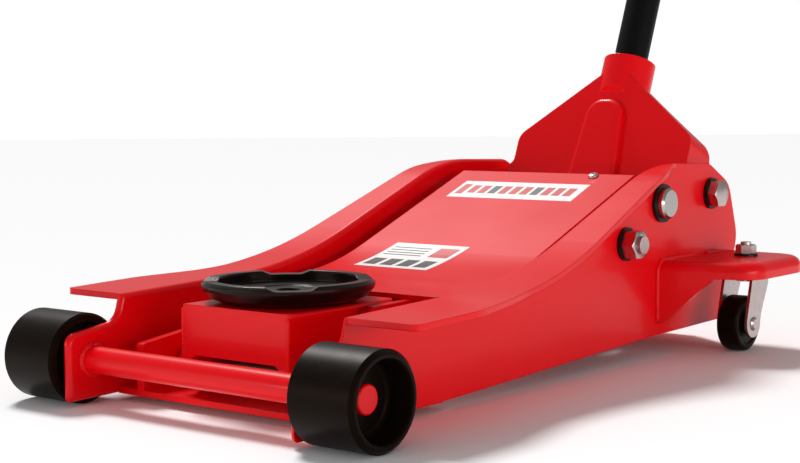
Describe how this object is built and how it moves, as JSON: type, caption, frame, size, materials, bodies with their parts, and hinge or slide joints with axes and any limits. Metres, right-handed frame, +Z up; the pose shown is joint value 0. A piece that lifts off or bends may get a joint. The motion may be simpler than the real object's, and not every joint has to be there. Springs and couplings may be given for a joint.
{
  "type": "trolley jack",
  "caption": "Low-profile trolley jack: S-shaped side plates, long lift arm with a turning saddle, hydraulic unit, pump handle, front wheels and swivel casters.",
  "frame": {"origin": "on the floor, under the middle of the whole jack, saddle end to handle end, at rest", "axes": "+Z up, along the height of the raised handle; -Y towards the saddle and front wheels; +X to the side away from the mirror half, the width being the shortest extent"},
  "size_m": [0.416, 1.0644, 1.246],
  "materials": {
    "red_enamel": "glossy baked enamel",
    "black_enamel": "satin black paint on cast iron",
    "zinc_plate": "bright zinc plate",
    "bright_steel": "ground steel",
    "black_oxide": "black oxide, oiled",
    "pump_iron": "semi-gloss black paint",
    "black_nylon": "moulded, semi-gloss",
    "bronze": "sintered bronze",
    "black_powder": "fine-textured powder coat",
    "grip_rubber": "matt moulded rubber"
  },
  "bodies": {
    "chassis": {"left_side_plate": "red_enamel", "right_side_plate": "red_enamel", "front_axle": "red_enamel", "front_cross_member": "red_enamel", "pump_floor_plate": "red_enamel", "left_caster_bracket": "red_enamel", "right_caster_bracket": "red_enamel", "pump_block": "pump_iron", "pump_block_bolts": "zinc_plate", "oil_reservoir": "pump_iron", "cylinder_tube": "bright_steel", "front_gland": "zinc_plate", "filler_plug": "zinc_plate", "pump_gland": "zinc_plate", "arm_shaft": "bright_steel", "arm_shaft_rings": "black_oxide", "equaliser_studs": "zinc_plate", "plate_washers": "black_oxide", "equaliser_nuts": "zinc_plate", "yoke_bolts": "zinc_plate", "caster_king_pins": "zinc_plate", "caster_washers": "black_oxide", "caster_nuts": "zinc_plate"},
    "left_wheel": {"left_front_wheel": "black_nylon", "left_wheel_bush": "bronze"},
    "right_wheel": {"right_front_wheel": "black_nylon", "right_wheel_bush": "bronze"},
    "lift_arm": {"left_arm_cheek": "red_enamel", "right_arm_cheek": "red_enamel", "arm_cover_plate": "red_enamel", "cover_screw": "zinc_plate", "arm_torque_tube": "red_enamel", "arm_cross_tube": "red_enamel", "head_pin": "bright_steel", "crank_pins": "bright_steel"},
    "head": {"saddle_head": "red_enamel", "equaliser_pin": "bright_steel"},
    "saddle": {"saddle": "black_enamel"},
    "equaliser": {"equaliser_bars": "red_enamel"},
    "ram": {"ram": "bright_steel", "crosshead": "pump_iron", "crosshead_pin": "bright_steel", "traction_bars": "pump_iron"},
    "plunger": {"pump_plunger": "bright_steel", "plunger_spring": "bright_steel"},
    "yoke": {"yoke": "red_enamel", "roller_pin": "bright_steel", "handle_screw": "zinc_plate"},
    "roller": {"pump_roller": "bright_steel"},
    "handle": {"handle_lower_tube": "black_powder", "handle_upper_tube": "black_powder", "handle_grip": "grip_rubber"},
    "release_valve": {"release_spindle": "zinc_plate"},
    "left_caster": {"left_caster_fork": "zinc_plate", "left_caster_rivet": "zinc_plate"},
    "left_caster_roll": {"left_caster_wheel": "black_nylon"},
    "right_caster": {"right_caster_fork": "zinc_plate", "right_caster_rivet": "zinc_plate"},
    "right_caster_roll": {"right_caster_wheel": "black_nylon"}
  },
  "joints": [
    {"name": "arm_lift", "type": "hinge", "parent": "chassis", "child": "lift_arm", "pos_m": [0, -0.02121, 0.1415], "axis": [-1, 0, 0], "range_deg": [0, 76]},
    {"name": "head_level", "type": "hinge", "parent": "lift_arm", "child": "head", "pos_m": [0, -0.36121, 0.062], "axis": [-1, 0, 0], "range_deg": [-77, 1]},
    {"name": "saddle_swivel", "type": "hinge", "parent": "head", "child": "saddle", "pos_m": [0, -0.39421, 0.0805], "axis": [0, 0, 1], "continuous": true},
    {"name": "equaliser_swing", "type": "hinge", "parent": "chassis", "child": "equaliser", "pos_m": [0, -0.08521, 0.1085], "axis": [-1, 0, 0], "range_deg": [-1, 77]},
    {"name": "ram_slide", "type": "slide", "parent": "chassis", "child": "ram", "axis": [0, -1, 0], "range_m": [-0.001, 0.0933]},
    {"name": "handle_pump", "type": "hinge", "parent": "chassis", "child": "yoke", "pos_m": [0, 0.07279, 0.146], "axis": [-1, 0, 0], "range_deg": [-20, 45]},
    {"name": "pump_stroke", "type": "slide", "parent": "chassis", "child": "plunger", "axis": [0, 0, -1], "range_m": [-0.009, 0.0195], "deforming": ["plunger_spring"]},
    {"name": "roller_spin", "type": "hinge", "parent": "yoke", "child": "roller", "pos_m": [0, 0.09779, 0.15], "axis": [1, 0, 0], "continuous": true},
    {"name": "handle_twist", "type": "hinge", "parent": "yoke", "child": "handle", "pos_m": [0, 0.07279, 0.146], "axis": [0, 0.3746, 0.9272], "range_deg": [0, 180]},
    {"name": "release_turn", "type": "hinge", "parent": "chassis", "child": "release_valve", "pos_m": [0, 0.10979, 0.05645], "axis": [0, 1, 0], "range_deg": [-1, 181]},
    {"name": "left_wheel_roll", "type": "hinge", "parent": "chassis", "child": "left_wheel", "pos_m": [0.153, -0.49621, 0.036], "axis": [1, 0, 0], "continuous": true},
    {"name": "right_wheel_roll", "type": "hinge", "parent": "chassis", "child": "right_wheel", "pos_m": [-0.153, -0.49621, 0.036], "axis": [1, 0, 0], "continuous": true},
    {"name": "left_caster_swivel", "type": "hinge", "parent": "chassis", "child": "left_caster", "pos_m": [0.162, 0.06679, 0.07], "axis": [0, 0, 1], "continuous": true},
    {"name": "left_caster_turn", "type": "hinge", "parent": "left_caster", "child": "left_caster_roll", "pos_m": [0.162, 0.05279, 0.026], "axis": [1, 0, 0], "continuous": true},
    {"name": "right_caster_swivel", "type": "hinge", "parent": "chassis", "child": "right_caster", "pos_m": [-0.162, 0.06679, 0.07], "axis": [0, 0, 1], "continuous": true},
    {"name": "right_caster_turn", "type": "hinge", "parent": "right_caster", "child": "right_caster_roll", "pos_m": [-0.162, 0.05279, 0.026], "axis": [1, 0, 0], "continuous": true}
  ],
  "couplings": [
    {"joint": "head_level", "follows": "arm_lift", "ratio": -1},
    {"joint": "equaliser_swing", "follows": "arm_lift", "ratio": 1},
    {"joint": "ram_slide", "follows": "arm_lift", "m_per_rad": 0.069621},
    {"joint": "pump_stroke", "follows": "handle_pump", "m_per_rad": 0.0239},
    {"joint": "release_turn", "follows": "handle_twist", "ratio": 1}
  ]
}
